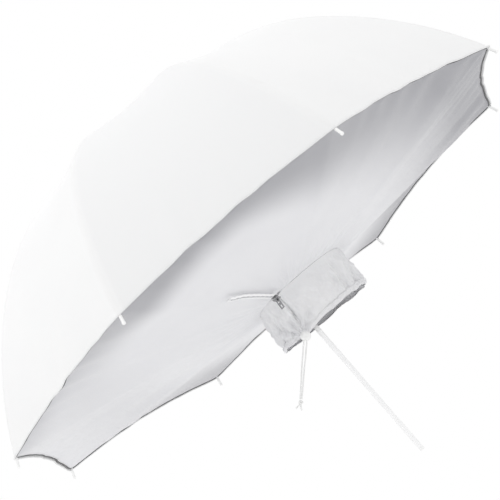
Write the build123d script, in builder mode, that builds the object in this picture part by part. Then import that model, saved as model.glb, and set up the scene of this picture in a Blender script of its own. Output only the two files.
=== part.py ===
"""Umbrella reflector with a closed front: a deep eight-rib canopy, a front cover with a drawstring
sleeve and a zip, and a folding rib frame on a hollow shaft.

Everything but the cord lock and its drawstring is drawn upright, with the shaft on +Z, the crown at
the top and the rim plane at Z = 0. It then leans by LEAN about Y, and the clamp point on the shaft
comes to the origin. Lengths are in millimetres and angles in degrees.
"""
from build123d import *
import os
from math import asin, atan2, cos, degrees, hypot, radians, sin

os.makedirs("parts", exist_ok=True)

# ---------------------------------------------------------------- driving dimensions
RIM_RADIUS = 420.0          # shaft axis to the rim corners
RIBS = 8
FIRST_RIB = 22.5            # azimuth of rib_1
LEAN = 45.0
CLAMP_Z = -250.0            # the middle of a clamp on the shaft

SHAFT_R = 3.5
SHAFT_WALL = 0.7
SHAFT_TAIL = -310.0         # free end, with its plug
STOP_Z = -105.0             # crimped ring that stops the runner
STOP_R = 3.9
STOP_LENGTH = 1.5

CROWN_R = 11.0              # circle of the rib hinges
RIB_START = 15.6            # how steeply a rib leaves the crown
RIB_BEND_R = 286.0          # the shoulder of a rib
RIB_BEND = 57.0
RIB_SWEEP_R = 572.0         # the flatter run down to the rim
RIB_ROD_R = 1.5
TIP_LENGTH = 13.5
TIP_R = 2.0
TIP_BALL_R = 2.4
TIP_GAP = 0.6               # cloth edge to the tip's open end

RUNNER_R = 13.0             # circle of the stretcher hinges
RUNNER_Z = 165.0
PIVOT_R = 202.0             # where a stretcher meets its rib
PIVOT_DROP = 5.0

EYE_R = 2.8                 # rib and stretcher eyes
EYE_HOLE_R = 1.1
EYE_WIDTH = 3.0
SLOT_WIDTH = 3.6
WIRE_R = 0.8                # the ring wires that the eyes turn on
FIT = 0.06                  # radial clearance of a running fit
PRESS_GAP = 0.02            # radial clearance of a pressed-on piece
CLIP_R = 2.6                # the clip's lug round its pivot stubs
CLIP_WIDTH = 2.4
STUB_R = 1.0
STUB_WIDTH = 4.6

CLOTH = 0.8
CLOTH_GAP = 1.8             # rib centre line to the inside of the canopy
COVER_BULGE = 40.0          # how far the front stands out beyond the rim
COVER_FLAT_R = 100.0
COVER_RIM_R = 414.0
SLEEVE_X = (-46.0, 90.0)    # the sleeve reaches further to one side, for a flash beside the shaft
SLEEVE_BASE_DEPTH = 120.0
SLEEVE_MOUTH_DEPTH = 31.0
SLEEVE_MOUTH_Z = -98.0
SLEEVE_LEAN = -4.0          # the mouth hangs a little towards the near end of the sleeve

ZIP_FROM = (-13.0, -75.0)   # where the zip leaves the sleeve
ZIP_AZIMUTH = 249.0
ZIP_LENGTH = 122.0
TOOTH_PITCH = 3.0

LOCK_R = 7.0                # ball cord lock
LOCK_AT = (-17.8, -26.5, -102.0)
CORD_R = 1.0

# ---------------------------------------------------------------- derived geometry
HALF_GORE = 180.0 / RIBS
STANCE = Location((0, 0, 0), (0, -LEAN, 0)) * Location((0, 0, -CLAMP_Z))
BEND_END_R = CROWN_R + RIB_BEND_R * (sin(radians(RIB_START)) - sin(radians(RIB_START - RIB_BEND)))
BEND_END_HEADING = RIB_START - RIB_BEND
RIM_HEADING = degrees(asin(sin(radians(BEND_END_HEADING)) - (RIM_RADIUS - BEND_END_R) / RIB_SWEEP_R))
BEND_DROP = RIB_BEND_R * (cos(radians(RIB_START)) - cos(radians(BEND_END_HEADING)))
SWEEP_DROP = RIB_SWEEP_R * (cos(radians(BEND_END_HEADING)) - cos(radians(RIM_HEADING)))
CROWN_Z = BEND_DROP + SWEEP_DROP


def rib_point(radius):
    """Height and heading of a rib's centre line at a distance from the shaft axis."""
    if radius < BEND_END_R:
        heading = asin(sin(radians(RIB_START)) - (radius - CROWN_R) / RIB_BEND_R)
        return CROWN_Z + RIB_BEND_R * (cos(heading) - cos(radians(RIB_START))), heading
    heading = asin(sin(radians(BEND_END_HEADING)) - (radius - BEND_END_R) / RIB_SWEEP_R)
    return RIB_SWEEP_R * (cos(heading) - cos(radians(RIM_HEADING))), heading


def beside_rib(radius, offset):
    """The point at a distance outside a rib's centre line."""
    height, heading = rib_point(radius)
    return (radius - offset * sin(heading), height + offset * cos(heading))


PIVOT = beside_rib(PIVOT_R, -PIVOT_DROP)
STRETCHER_LENGTH = hypot(PIVOT[0] - RUNNER_R, PIVOT[1] - RUNNER_Z)
STRETCHER_RISE = degrees(atan2(PIVOT[1] - RUNNER_Z, PIVOT[0] - RUNNER_R))


def keep(piece, name, place=Location()):
    """Label a piece drawn upright, lean it, and write it."""
    piece.part.label = name
    export_step(piece.part.moved(STANCE * place), f"parts/{name}.step")


def around(number):
    """The turn about the shaft that brings a piece drawn on +X to its rib."""
    return Location((0, 0, 0), (0, 0, FIRST_RIB + 360.0 / RIBS * (number - 1)))


# ---------------------------------------------------------------- shaft and its end plug
CATCH_Z = RUNNER_Z - 29.0
CATCH_LENGTH = 11.0
SHAFT_TOP = CROWN_Z + 9.0
BORE_R = SHAFT_R - SHAFT_WALL
PLUG_CAP = 5.0
RIVET_Z = CROWN_Z - 10.0
RIVET_R = 1.0

with BuildPart() as shaft:
    with BuildSketch(Plane.XZ):
        with BuildLine():
            Polyline(
                (BORE_R, SHAFT_TAIL + PLUG_CAP),
                (SHAFT_R, SHAFT_TAIL + PLUG_CAP),
                (SHAFT_R, STOP_Z - STOP_LENGTH),
                (STOP_R, STOP_Z - STOP_LENGTH + 0.4),
                (STOP_R, STOP_Z - 0.4),
                (SHAFT_R, STOP_Z),
                (SHAFT_R, SHAFT_TOP),
                (BORE_R, SHAFT_TOP),
                close=True,
            )
        make_face()
    revolve(axis=Axis.Z)
    # window for the opening catch
    with BuildSketch(Plane.YZ):
        with Locations((0, CATCH_Z + CATCH_LENGTH / 2)):
            Rectangle(2.6, CATCH_LENGTH + 0.6)
    extrude(amount=SHAFT_R + 1, mode=Mode.SUBTRACT)
    # cross hole for the crown rivet
    with BuildSketch(Plane.YZ.offset(-SHAFT_R - 1)):
        with Locations((0, RIVET_Z)):
            Circle(RIVET_R + PRESS_GAP)
    extrude(amount=2 * SHAFT_R + 2, mode=Mode.SUBTRACT)
keep(shaft, "shaft")

with BuildPart() as shaft_end_plug:
    with BuildSketch(Plane.XY.offset(SHAFT_TAIL)):
        Circle(SHAFT_R)
    extrude(amount=PLUG_CAP)
    fillet(shaft_end_plug.edges().sort_by(Axis.Z)[0], 1.6)
    with BuildSketch(Plane.XY.offset(SHAFT_TAIL + PLUG_CAP)):
        Circle(BORE_R)
    extrude(amount=14)
    chamfer(shaft_end_plug.edges().sort_by(Axis.Z)[-1], 0.5)
keep(shaft_end_plug, "shaft_end_plug")

# ---------------------------------------------------------------- crown
HUB_R = 15.0
HUB_CORE_R = 7.0
HUB_LOW = CROWN_Z - 5.0
HUB_HIGH = CROWN_Z + 4.6
BOSS_HIGH = CROWN_Z + 5.8
CAP_R = 19.0
CAP_HEIGHT = 5.6

with BuildPart() as crown_hub:
    with BuildSketch(Plane.XY.offset(HUB_LOW)):
        Circle(HUB_R)
    extrude(amount=HUB_HIGH - HUB_LOW)
    chamfer(crown_hub.edges().filter_by(GeomType.CIRCLE).sort_by(Axis.Z)[-1], 1.0)
    with BuildSketch(Plane.XY.offset(HUB_LOW)):
        with PolarLocations(0, RIBS, FIRST_RIB):
            with Locations((HUB_CORE_R + HUB_R / 2, 0)):
                Rectangle(HUB_R, SLOT_WIDTH)
    extrude(amount=HUB_HIGH - HUB_LOW, mode=Mode.SUBTRACT)
    with BuildSketch(Plane.XY.offset(CROWN_Z - 15)):
        Circle(HUB_CORE_R)
    extrude(amount=BOSS_HIGH - CROWN_Z + 15)
    with BuildSketch(Plane.XZ):
        with Locations((CROWN_R, CROWN_Z)):
            Circle(WIRE_R + 0.05)
    revolve(axis=Axis.Z, mode=Mode.SUBTRACT)
    with BuildSketch(Plane.XY.offset(CROWN_Z - 16)):
        Circle(SHAFT_R + 0.02)
    extrude(amount=30, mode=Mode.SUBTRACT)
    with BuildSketch(Plane.YZ.offset(-HUB_R)):
        with Locations((0, RIVET_Z)):
            Circle(RIVET_R + 0.02)
    extrude(amount=2 * HUB_R, mode=Mode.SUBTRACT)
keep(crown_hub, "crown_hub")

with BuildPart() as crown_hinge_wire:
    with BuildSketch(Plane.XZ):
        with Locations((CROWN_R, CROWN_Z)):
            Circle(WIRE_R)
    revolve(axis=Axis.Z)
keep(crown_hinge_wire, "crown_hinge_wire")

with BuildPart() as crown_rivet:
    with BuildSketch(Plane.YZ.offset(-HUB_CORE_R)):
        with Locations((0, RIVET_Z)):
            Circle(RIVET_R)
    extrude(amount=2 * HUB_CORE_R)
    with BuildSketch(Plane.YZ.offset(HUB_CORE_R)):
        with Locations((0, RIVET_Z)):
            Circle(1.9)
    extrude(amount=0.8)
    with BuildSketch(Plane.YZ.offset(-HUB_CORE_R - 0.8)):
        with Locations((0, RIVET_Z)):
            Circle(1.9)
    extrude(amount=0.8)
keep(crown_rivet, "crown_rivet")

with BuildPart() as crown_cap:
    with BuildSketch(Plane.XY.offset(BOSS_HIGH)):
        Circle(CAP_R)
    extrude(amount=CAP_HEIGHT)
    fillet(crown_cap.edges().sort_by(Axis.Z)[-1], CAP_HEIGHT - 1.2)
    with BuildSketch(Plane.XY.offset(BOSS_HIGH)):
        Circle(SHAFT_R + 0.02)
    extrude(amount=SHAFT_TOP - BOSS_HIGH + 0.1, mode=Mode.SUBTRACT)
keep(crown_cap, "crown_cap")

# ---------------------------------------------------------------- ribs, tips and stretchers
ROD_TAIL = 6.0              # the rod runs on into the tip
FORK_GAP = 5.4
FORK_WALL = 0.8
FORK_LENGTH = 40.0
BAR_WIDTH = 3.0
BAR_HEIGHT = 4.0

with BuildPart() as rib:
    with BuildLine(Plane.XZ):
        shoulder = JernArc(
            start=(CROWN_R, CROWN_Z),
            tangent=(cos(radians(RIB_START)), sin(radians(RIB_START))),
            radius=RIB_BEND_R,
            arc_size=-RIB_BEND,
        )
        flank = JernArc(
            start=shoulder @ 1,
            tangent=shoulder % 1,
            radius=RIB_SWEEP_R,
            arc_size=RIM_HEADING - BEND_END_HEADING,
        )
        PolarLine(flank @ 1, ROD_TAIL, direction=flank % 1)
    with BuildSketch(Plane(origin=shoulder @ 0, z_dir=shoulder % 0)):
        Circle(RIB_ROD_R)
    sweep()
    # eye on the crown wire
    with BuildSketch(Plane.XZ.offset(-EYE_WIDTH / 2)):
        with Locations((CROWN_R, CROWN_Z)):
            Circle(EYE_R)
    extrude(amount=EYE_WIDTH)
    with BuildSketch(Plane.XZ.offset(-EYE_WIDTH)):
        with Locations((CROWN_R, CROWN_Z)):
            Circle(EYE_HOLE_R)
    extrude(amount=2 * EYE_WIDTH, mode=Mode.SUBTRACT)
    # crimped clip with its lug and pivot stubs
    lug_height, lug_heading = rib_point(PIVOT_R)
    with BuildSketch(Plane.XZ.offset(-CLIP_WIDTH / 2)):
        with Locations(Location((PIVOT_R, lug_height), degrees(lug_heading))):
            with Locations((0, -PIVOT_DROP / 2)):
                Rectangle(2 * CLIP_R, PIVOT_DROP)
            with Locations((0, -PIVOT_DROP)):
                Circle(CLIP_R)
    extrude(amount=CLIP_WIDTH)
    with BuildSketch(Plane.XZ.offset(-STUB_WIDTH / 2)):
        with Locations(PIVOT):
            Circle(STUB_R)
    extrude(amount=STUB_WIDTH)

with BuildPart() as rib_tip:
    tip_plane = Plane(origin=flank @ 1, z_dir=flank % 1)
    with BuildSketch(tip_plane.offset(TIP_GAP)):
        Circle(TIP_R)
    extrude(amount=TIP_LENGTH - TIP_BALL_R - TIP_GAP)
    with Locations(tip_plane.offset(TIP_LENGTH - TIP_BALL_R)):
        Sphere(TIP_BALL_R)
    with BuildSketch(tip_plane.offset(TIP_GAP)):
        Circle(RIB_ROD_R + PRESS_GAP)
    extrude(amount=ROD_TAIL - 0.5, mode=Mode.SUBTRACT)

with BuildPart() as stretcher:
    with BuildSketch(Plane.XZ.offset(-EYE_WIDTH / 2)):
        Circle(EYE_R)
        with Locations(((STRETCHER_LENGTH - FORK_LENGTH) / 2, 0)):
            Rectangle(STRETCHER_LENGTH - FORK_LENGTH, BAR_HEIGHT)
    extrude(amount=BAR_WIDTH)
    # the pressed channel on the underside
    with BuildSketch(Plane.XY.offset(-BAR_HEIGHT / 2)):
        with Locations((STRETCHER_LENGTH / 2 - 12, 0)):
            SlotOverall(STRETCHER_LENGTH - 76, 1.8)
    extrude(amount=BAR_HEIGHT - 0.9, mode=Mode.SUBTRACT)
    # fork: a cross web and two cheeks that straddle the rib
    with BuildSketch(Plane.XZ.offset(-FORK_GAP / 2 - FORK_WALL)):
        with Locations((STRETCHER_LENGTH - FORK_LENGTH - 3, 0)):
            Rectangle(6, BAR_HEIGHT)
    extrude(amount=FORK_GAP + 2 * FORK_WALL)
    for cheek_side in (-FORK_GAP / 2 - FORK_WALL, FORK_GAP / 2):
        with BuildSketch(Plane.XZ.offset(cheek_side)):
            with Locations((STRETCHER_LENGTH - FORK_LENGTH / 2 - 1, 0)):
                Rectangle(FORK_LENGTH + 2, BAR_HEIGHT)
            with Locations((STRETCHER_LENGTH, 0)):
                Circle(2.4)
                Circle(EYE_HOLE_R, mode=Mode.SUBTRACT)
        extrude(amount=FORK_WALL)
    with BuildSketch(Plane.XZ.offset(-5)):
        Circle(EYE_HOLE_R)
        with Locations((STRETCHER_LENGTH, 0)):
            Circle(EYE_HOLE_R)
    extrude(amount=10, mode=Mode.SUBTRACT)

# ---------------------------------------------------------------- canopy, one panel on each rib
CANOPY_INNER_R = 17.5
CANOPY_STATIONS = 9
SEAM_GAP = 0.15


def canopy_edge(offset):
    """The line of the cloth in the plane midway between two ribs."""
    reach = cos(radians(HALF_GORE))
    points = []
    for station in range(CANOPY_STATIONS):
        share = station / (CANOPY_STATIONS - 1)
        radius = CANOPY_INNER_R + (RIM_RADIUS - 0.6 - CANOPY_INNER_R) * share
        out, up = beside_rib(radius, offset)
        points.append((out * reach, up))
    return points


with BuildPart() as canopy_panel:
    crest_plane = Plane(origin=(0, 0, 0), x_dir=(cos(radians(HALF_GORE)), sin(radians(HALF_GORE)), 0),
                        z_dir=(sin(radians(HALF_GORE)), -cos(radians(HALF_GORE)), 0))
    inner_edge = canopy_edge(CLOTH_GAP)
    outer_edge = canopy_edge(CLOTH_GAP + CLOTH)
    with BuildSketch(crest_plane):
        with BuildLine():
            Spline(inner_edge)
            Line(inner_edge[-1], outer_edge[-1])
            Spline(outer_edge)
            Line(outer_edge[0], inner_edge[0])
        make_face()
    extrude(amount=RIM_RADIUS / 2, both=True)
    with BuildSketch(Plane.XY.offset(-20)):
        side = 1.2 * RIM_RADIUS
        start = SEAM_GAP / sin(radians(HALF_GORE))
        with BuildLine():
            Polyline((start, 0), (side, 0), (start + side * cos(radians(HALF_GORE)),
                                             side * sin(radians(HALF_GORE))), close=True)
        make_face()
    extrude(amount=CROWN_Z + 60, mode=Mode.INTERSECT)
    mirror(about=Plane.XZ)

stretcher_place = Location((RUNNER_R, 0, RUNNER_Z), (0, -STRETCHER_RISE, 0))
for number in range(1, RIBS + 1):
    keep(rib, f"rib_{number}", around(number))
    keep(rib_tip, f"rib_tip_{number}", around(number))
    keep(canopy_panel, f"canopy_panel_{number}", around(number))
    keep(stretcher, f"stretcher_{number}", around(number) * stretcher_place)

# ---------------------------------------------------------------- runner and opening catch
RUNNER_FLANGE_R = 17.5
BARREL_R = 6.5
BARREL_LOW = RUNNER_Z - 17.0
FLANGE_LOW = RUNNER_Z - 4.5
FLANGE_HIGH = RUNNER_Z + 4.5

with BuildPart() as runner:
    with BuildSketch(Plane.XY.offset(FLANGE_LOW)):
        Circle(RUNNER_FLANGE_R)
    extrude(amount=FLANGE_HIGH - FLANGE_LOW)
    with BuildSketch(Plane.XY.offset(FLANGE_LOW)):
        with PolarLocations(0, RIBS, FIRST_RIB):
            with Locations((RUNNER_R - 3.6 + RUNNER_FLANGE_R / 2, 0)):
                Rectangle(RUNNER_FLANGE_R, SLOT_WIDTH)
    extrude(amount=FLANGE_HIGH - FLANGE_LOW, mode=Mode.SUBTRACT)
    with BuildSketch(Plane.XZ):
        with Locations((RUNNER_R, RUNNER_Z)):
            Circle(WIRE_R + 0.05)
    revolve(axis=Axis.Z, mode=Mode.SUBTRACT)
    with BuildSketch(Plane.XY.offset(BARREL_LOW)):
        Circle(BARREL_R)
    extrude(amount=FLANGE_HIGH + 2 - BARREL_LOW)
    with BuildSketch(Plane.XY.offset(BARREL_LOW)):
        Circle(BARREL_R + 1.4)
    extrude(amount=3)
    fillet(runner.edges().filter_by(GeomType.CIRCLE).sort_by(Axis.Z)[0:2], 0.6)
    with BuildSketch(Plane.XY.offset(BARREL_LOW)):
        Circle(SHAFT_R + FIT)
    extrude(amount=40, mode=Mode.SUBTRACT)
keep(runner, "runner")

with BuildPart() as runner_hinge_wire:
    with BuildSketch(Plane.XZ):
        with Locations((RUNNER_R, RUNNER_Z)):
            Circle(WIRE_R)
    revolve(axis=Axis.Z)
keep(runner_hinge_wire, "runner_hinge_wire")

CATCH_OUT = 5.6
with BuildPart() as open_catch:
    with BuildSketch(Plane.XZ.offset(-1.0)):
        with BuildLine():
            Polyline(
                (1.1, CATCH_Z - 1.2),
                (2.3, CATCH_Z - 1.2),
                (2.3, CATCH_Z),
                (3.2, CATCH_Z),
                (CATCH_OUT, CATCH_Z + CATCH_LENGTH - 3),
                (CATCH_OUT, CATCH_Z + CATCH_LENGTH),
                (2.3, CATCH_Z + CATCH_LENGTH),
                (2.3, CATCH_Z + CATCH_LENGTH + 1.2),
                (1.1, CATCH_Z + CATCH_LENGTH + 1.2),
                close=True,
            )
        make_face()
    extrude(amount=2.0)
keep(open_catch, "open_catch")

with BuildPart() as catch_spring:
    with BuildSketch(Plane.XZ.offset(-0.8)):
        with BuildLine():
            Polyline(
                (1.05, CATCH_Z + 0.5),
                (0.75, CATCH_Z + 0.3),
                (-2.55, CATCH_Z + CATCH_LENGTH / 2),
                (0.75, CATCH_Z + CATCH_LENGTH - 0.3),
                (1.05, CATCH_Z + CATCH_LENGTH - 0.5),
                (-2.15, CATCH_Z + CATCH_LENGTH / 2),
                close=True,
            )
        make_face()
    extrude(amount=1.6)
keep(catch_spring, "catch_spring")

# ---------------------------------------------------------------- front cover and its binding
RIM_DROP = 1.0
SLEEVE_MID = (SLEEVE_X[0] + SLEEVE_X[1]) / 2
SLEEVE_WIDTH = SLEEVE_X[1] - SLEEVE_X[0]
SLEEVE_CORNER = 50.0
BINDING_R = 417.0

with BuildPart() as cover:
    with BuildSketch(Plane.XY.offset(-RIM_DROP)):
        RegularPolygon(COVER_RIM_R, RIBS, rotation=FIRST_RIB)
    with BuildSketch(Plane.XY.offset(-COVER_BULGE - CLOTH)):
        RegularPolygon(COVER_FLAT_R, RIBS, rotation=FIRST_RIB)
    loft()
    with BuildSketch(Plane.XY.offset(CLOTH - RIM_DROP)):
        RegularPolygon(COVER_RIM_R, RIBS, rotation=FIRST_RIB)
    with BuildSketch(Plane.XY.offset(-COVER_BULGE)):
        RegularPolygon(COVER_FLAT_R, RIBS, rotation=FIRST_RIB)
    loft(mode=Mode.SUBTRACT)
    with BuildSketch(Plane.XY.offset(-COVER_BULGE - 2 * CLOTH)):
        with Locations((SLEEVE_MID, 0)):
            RectangleRounded(SLEEVE_WIDTH - 2 * CLOTH, SLEEVE_BASE_DEPTH - 2 * CLOTH, SLEEVE_CORNER)
    extrude(amount=4 * CLOTH, mode=Mode.SUBTRACT)
keep(cover, "cover")

with BuildPart() as cover_binding:
    with BuildSketch(Plane.XY.offset(-RIM_DROP - 1.4)):
        RegularPolygon(BINDING_R, RIBS, rotation=FIRST_RIB)
        RegularPolygon(COVER_RIM_R + 0.2, RIBS, rotation=FIRST_RIB, mode=Mode.SUBTRACT)
    extrude(amount=1.8)
keep(cover_binding, "cover_binding")

# ---------------------------------------------------------------- drawstring sleeve
SLEEVE_TOP_Z = -COVER_BULGE - CLOTH
SLIT_X = -15.0
SLIT_WIDTH = 2.4


SLEEVE_ENDS = (
    (SLEEVE_TOP_Z, SLEEVE_BASE_DEPTH, 0.0, SLEEVE_CORNER),
    (SLEEVE_MOUTH_Z, SLEEVE_MOUTH_DEPTH, SLEEVE_LEAN, 14.0),
)

with BuildPart() as sleeve:
    for height, depth, shift, corner in SLEEVE_ENDS:
        with BuildSketch(Plane.XY.offset(height)):
            with Locations((SLEEVE_MID + shift, 0)):
                RectangleRounded(SLEEVE_WIDTH, depth, corner)
    loft()
    for height, depth, shift, corner in SLEEVE_ENDS:
        with BuildSketch(Plane.XY.offset(height)):
            with Locations((SLEEVE_MID + shift, 0)):
                RectangleRounded(SLEEVE_WIDTH - 2 * CLOTH, depth - 2 * CLOTH, corner - CLOTH)
    loft(mode=Mode.SUBTRACT)
    with BuildSketch(Plane.XZ):
        with Locations((SLIT_X, (SLEEVE_TOP_Z + SLEEVE_MOUTH_Z) / 2 - 2)):
            Rectangle(SLIT_WIDTH, SLEEVE_TOP_Z - SLEEVE_MOUTH_Z - 14)
    extrude(amount=80, mode=Mode.SUBTRACT)
keep(sleeve, "sleeve")

# ---------------------------------------------------------------- zip
# Drawn flat along +X from its inner end, with the cover's face at Z = 0 and the outside below it. It is
# then laid on the slope that the cover has towards azimuth 270.
FLAT_APOTHEM = COVER_FLAT_R * cos(radians(HALF_GORE))
RIM_APOTHEM = COVER_RIM_R * cos(radians(HALF_GORE))
COVER_SLOPE = (COVER_BULGE + CLOTH - RIM_DROP) / (RIM_APOTHEM - FLAT_APOTHEM)
ZIP_FROM_Z = COVER_SLOPE * (-ZIP_FROM[1] - FLAT_APOTHEM) - COVER_BULGE - CLOTH
ZIP_PLACE = Plane(
    origin=(ZIP_FROM[0], ZIP_FROM[1], ZIP_FROM_Z - 0.4),
    x_dir=(cos(radians(ZIP_AZIMUTH)), sin(radians(ZIP_AZIMUTH)), -COVER_SLOPE * sin(radians(ZIP_AZIMUTH))),
    z_dir=(0, COVER_SLOPE, 1),
).location
TAPE_FACE = -4.6
TAPE = 0.6
TEETH_START = 9.0
TEETH = int((ZIP_LENGTH - TEETH_START) / TOOTH_PITCH)

with BuildPart() as zipper_tape:
    with BuildSketch(Plane.YZ):
        for tape_side in (1, -1):
            with BuildLine():
                Polyline(
                    (tape_side * 0.5, TAPE_FACE),
                    (tape_side * 7.5, TAPE_FACE),
                    (tape_side * 10.5, -2 * TAPE),
                    (tape_side * 14, -2 * TAPE),
                    (tape_side * 14, -TAPE),
                    (tape_side * 10, -TAPE),
                    (tape_side * 7, TAPE_FACE + TAPE),
                    (tape_side * 0.5, TAPE_FACE + TAPE),
                    close=True,
                )
            make_face()
    extrude(amount=ZIP_LENGTH)
keep(zipper_tape, "zipper_tape", ZIP_PLACE)

with BuildPart() as zipper_teeth:
    with BuildSketch(Plane.XY.offset(TAPE_FACE - 1.4)):
        for tooth in range(TEETH):
            with Locations((TEETH_START + TOOTH_PITCH * tooth, 0.7)):
                Rectangle(1.2, 3.6)
            with Locations((TEETH_START + TOOTH_PITCH * (tooth + 0.5), -0.7)):
                Rectangle(1.2, 3.6)
    extrude(amount=1.4)
keep(zipper_teeth, "zipper_teeth", ZIP_PLACE)

SLIDER_X = 1.0
SLIDER_LENGTH = 9.0
SLIDER_FRONT = TAPE_FACE - 2.0
BACK_PLATE = TAPE_FACE + TAPE + 0.4
with BuildPart() as zipper_slider:
    # front and back plates, tapered towards the closed teeth
    for plate_z, plate in ((SLIDER_FRONT - 1.2, 1.2), (BACK_PLATE, 1.0)):
        with BuildSketch(Plane.XY.offset(plate_z)):
            with BuildLine():
                Polyline(
                    (SLIDER_X, -4.6),
                    (SLIDER_X + SLIDER_LENGTH, -3.6),
                    (SLIDER_X + SLIDER_LENGTH, 3.6),
                    (SLIDER_X, 4.6),
                    close=True,
                )
            make_face()
        extrude(amount=plate)
    # side flanges reach down to the tape
    with BuildSketch(Plane.XY.offset(SLIDER_FRONT)):
        with Locations((SLIDER_X + 5.5, -3.6), (SLIDER_X + 5.5, 3.6)):
            Rectangle(6.5, 0.7)
    extrude(amount=1.5)
    # post between the tapes, ahead of the teeth
    with BuildSketch(Plane.XY.offset(SLIDER_FRONT)):
        with Locations((SLIDER_X + 2.2, 0)):
            Rectangle(3.2, 0.8)
    extrude(amount=BACK_PLATE - SLIDER_FRONT)
    # bail that the pull hangs from
    with BuildSketch(Plane.XZ.offset(-0.9)):
        with Locations((SLIDER_X + 4.6, SLIDER_FRONT - 2.6)):
            Rectangle(7.0, 3.2)
        with Locations((SLIDER_X + 4.6, SLIDER_FRONT - 2.1)):
            Rectangle(4.2, 1.8, mode=Mode.SUBTRACT)
    extrude(amount=1.8)
keep(zipper_slider, "zipper_slider", ZIP_PLACE)

PULL_BAR_X = SLIDER_X + 4.6
PULL_BAR_Z = SLIDER_FRONT - 2.1
PULL_HANG = 13.0            # how far gravity turns the pull towards the rim
PULL_LENGTH = 15.0
with BuildPart() as zipper_pull:
    with BuildSketch(Plane.YZ.offset(-0.5)):
        with Locations((0, 0.6 - PULL_LENGTH / 2)):
            RectangleRounded(5.4, PULL_LENGTH, 0.5)
        with Locations((0, -2.7)):
            Rectangle(3.0, 4.3, mode=Mode.SUBTRACT)
        with Locations((0, -10.6)):
            SlotOverall(5.0, 2.2, rotation=90, mode=Mode.SUBTRACT)
    extrude(amount=1.0)
keep(zipper_pull, "zipper_pull", ZIP_PLACE * Location((PULL_BAR_X, 0, PULL_BAR_Z), (0, -PULL_HANG, 0)))

# ---------------------------------------------------------------- cord lock and drawstring
# These hang, so they are drawn upright in the leaning umbrella's own frame, from the lock's centre.
LOCK_CENTRE = (STANCE * Location(LOCK_AT)).position
LOCK_PLACE = Location(LOCK_CENTRE)
LOCK_FLAT = 6.1
CORD_HOLE_R = 1.25
CORD_SIDE = 1.9
BUTTON_R = 3.2
BUTTON_TRAVEL = 1.4


def hang(piece, name):
    """Label a piece drawn about the cord lock's centre, and write it in its place."""
    piece.part.label = name
    export_step(piece.part.moved(LOCK_PLACE), f"parts/{name}.step")


with BuildPart() as cord_lock:
    Sphere(LOCK_R)
    with BuildSketch(Plane.XY.offset(-LOCK_FLAT)):
        Circle(2 * LOCK_R)
    extrude(amount=2 * LOCK_FLAT, mode=Mode.INTERSECT)
    with BuildSketch(Plane.XY.offset(-LOCK_R)):
        with Locations((-CORD_SIDE, 0), (CORD_SIDE, 0)):
            Circle(CORD_HOLE_R)
    extrude(amount=2 * LOCK_R, mode=Mode.SUBTRACT)
    with BuildSketch(Plane.XZ.offset(-4.9)):
        Circle(BUTTON_R + 0.05)
    extrude(amount=2 * LOCK_R, mode=Mode.SUBTRACT)
hang(cord_lock, "cord_lock")

with BuildPart() as cord_lock_button:
    with BuildSketch(Plane.XZ.offset(-1.5)):
        Circle(BUTTON_R)
    extrude(amount=9.9)
    fillet(cord_lock_button.edges().sort_by(Axis.Y)[0], 0.8)
    with BuildSketch(Plane.XY.offset(-LOCK_R)):
        with Locations((-CORD_SIDE, -BUTTON_TRAVEL), (CORD_SIDE, -BUTTON_TRAVEL)):
            Circle(CORD_HOLE_R)
    extrude(amount=2 * LOCK_R, mode=Mode.SUBTRACT)
hang(cord_lock_button, "cord_lock_button")

with BuildPart() as cord_lock_spring:
    with BuildLine():
        coil = Helix(pitch=0.95, height=2.6, radius=2.2, center=(0, 1.85, 0), direction=(0, 1, 0))
    with BuildSketch(Plane(origin=coil @ 0, z_dir=coil % 0)):
        Circle(0.25)
    sweep(is_frenet=True)
hang(cord_lock_spring, "cord_lock_spring")

# Each strand is a list of points, from the lock down to the knot.
KNOT_TOP = -82.0
STRANDS = {
    "left": [(-1.9, 0, -3.7), (-1.8, -0.4, -21), (-2.3, 0.4, -43), (-1.2, 0.2, -63), (-1.1, 0, KNOT_TOP)],
    "right": [(1.9, 0, -3.7), (2.1, 0.4, -23), (1.3, -0.4, -44), (1.5, -0.2, -62), (1.1, 0, KNOT_TOP)],
}


def bend_radii(points):
    """An arc for each corner, as large as its two runs allow."""
    radii = []
    for before, corner, after in zip(points, points[1:], points[2:]):
        arriving = Vector(corner) - Vector(before)
        leaving = Vector(after) - Vector(corner)
        half_turn = radians(arriving.get_angle(leaving)) / 2
        shorter = min(arriving.length, leaving.length)
        radii.append(0.45 * shorter * cos(half_turn) / sin(half_turn))
    return radii


for strand_side, points in STRANDS.items():
    radii = bend_radii(points)
    print(strand_side, "strand bends at radii", [round(radius) for radius in radii])
    with BuildPart() as strand:
        with BuildLine() as route:
            FilletPolyline(*points, radius=radii)
        path = route.wire()
        with BuildSketch(Plane(origin=path @ 0, z_dir=path % 0)):
            Circle(CORD_R)
        sweep()
    length = path.length
    tube = 3.14159 * CORD_R**2 * length
    print("length", round(length, 1), "volume", round(strand.part.volume, 1), "of", round(tube, 1))
    hang(strand, f"drawstring_{strand_side}")

KNOT_FACE = KNOT_TOP - 0.05
KNOT_MIDDLE = KNOT_TOP - 3.4
TAIL_LENGTH = 13.0
with BuildPart() as drawstring_knot:
    with BuildSketch(Plane.XZ):
        with Locations((0, KNOT_MIDDLE)):
            Ellipse(4.2, 4.0)
        with Locations((-5, KNOT_MIDDLE)):
            Rectangle(10, 10, mode=Mode.SUBTRACT)
    revolve(axis=Axis.Z)
    with BuildSketch(Plane.XY.offset(KNOT_FACE)):
        Circle(6)
    extrude(amount=-20, mode=Mode.INTERSECT)
    for tail_lean in (-24, 17):
        with BuildSketch(Plane(origin=(0, 0, KNOT_MIDDLE), z_dir=(sin(radians(tail_lean)), -0.2,
                                                                  -cos(radians(tail_lean))))):
            Circle(CORD_R)
        extrude(amount=TAIL_LENGTH)
hang(drawstring_knot, "drawstring_knot")
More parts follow.
